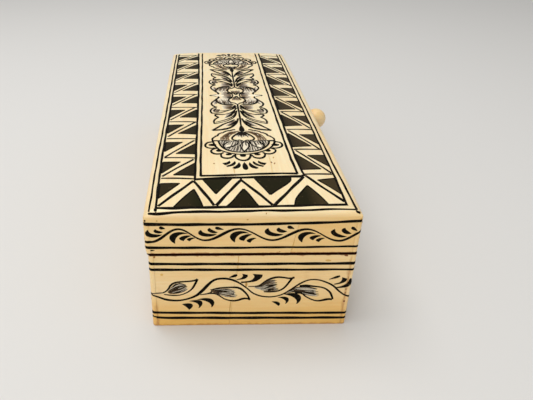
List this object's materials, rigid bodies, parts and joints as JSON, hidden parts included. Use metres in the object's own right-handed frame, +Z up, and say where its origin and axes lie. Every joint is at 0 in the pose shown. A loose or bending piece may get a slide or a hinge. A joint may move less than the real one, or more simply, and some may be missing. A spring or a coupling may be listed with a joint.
{
  "type": "keepsake box",
  "caption": "Long low keepsake box with a hinged crowned lid, bone plates over a wooden case, a turned bone knob and a velvet lining.",
  "frame": {"origin": "under the middle of the base, on the surface that the box stands on", "axes": "+Z up, +Y along the box from its near end to its far end, +X to the front side with the knob"},
  "size_m": [0.0862, 0.208, 0.0542],
  "materials": {
    "bone": null,
    "wood": "dark stained softwood, bare",
    "velvet": "short pile velvet over card",
    "brass": "plain pressed brass, dulled"
  },
  "bodies": {
    "base": {"base_back_board": "wood", "base_back_plate_1": "bone", "base_back_plate_2": "bone", "base_bottom_board": "wood", "base_far_board": "wood", "base_far_plate_left": "bone", "base_far_plate_right": "bone", "base_front_board": "wood", "base_front_plate_1": "bone", "base_front_plate_2": "bone", "base_lining_back": "velvet", "base_lining_far": "velvet", "base_lining_floor": "velvet", "base_lining_front": "velvet", "base_lining_near": "velvet", "base_near_board": "wood", "base_near_plate_left": "bone", "base_near_plate_right": "bone", "base_rim_back": "bone", "base_rim_far": "bone", "base_rim_front": "bone", "base_rim_near": "bone", "hinge_lower_leaf_1": "brass", "hinge_lower_leaf_2": "brass", "hinge_lower_nail_1": "brass", "hinge_lower_nail_2": "brass", "hinge_lower_nail_3": "brass", "hinge_lower_nail_4": "brass", "hinge_pin_1": "brass", "hinge_pin_2": "brass"},
    "lid": {"hinge_upper_leaf_1": "brass", "hinge_upper_leaf_2": "brass", "hinge_upper_nail_1": "brass", "hinge_upper_nail_2": "brass", "hinge_upper_nail_3": "brass", "hinge_upper_nail_4": "brass", "knob": "bone", "lid_back_edging": "bone", "lid_back_plate": "bone", "lid_back_rail": "wood", "lid_far_edging": "bone", "lid_far_plate": "bone", "lid_far_rail": "wood", "lid_front_edging": "bone", "lid_front_plate": "bone", "lid_front_rail": "wood", "lid_lining": "velvet", "lid_near_edging": "bone", "lid_near_plate_left": "bone", "lid_near_plate_right": "bone", "lid_near_rail": "wood", "lid_top_board": "wood", "lid_top_plate_back_1": "bone", "lid_top_plate_back_2": "bone", "lid_top_plate_centre_1": "bone", "lid_top_plate_centre_2": "bone", "lid_top_plate_centre_3": "bone", "lid_top_plate_front_1": "bone", "lid_top_plate_front_2": "bone", "lid_top_plate_near": "bone"}
  },
  "joints": [
    {"name": "lid_hinge", "type": "hinge", "parent": "base", "child": "lid", "pos_m": [-0.03825, 0, 0.0347], "axis": [0, -1, 0], "range_deg": [0, 165]}
  ]
}
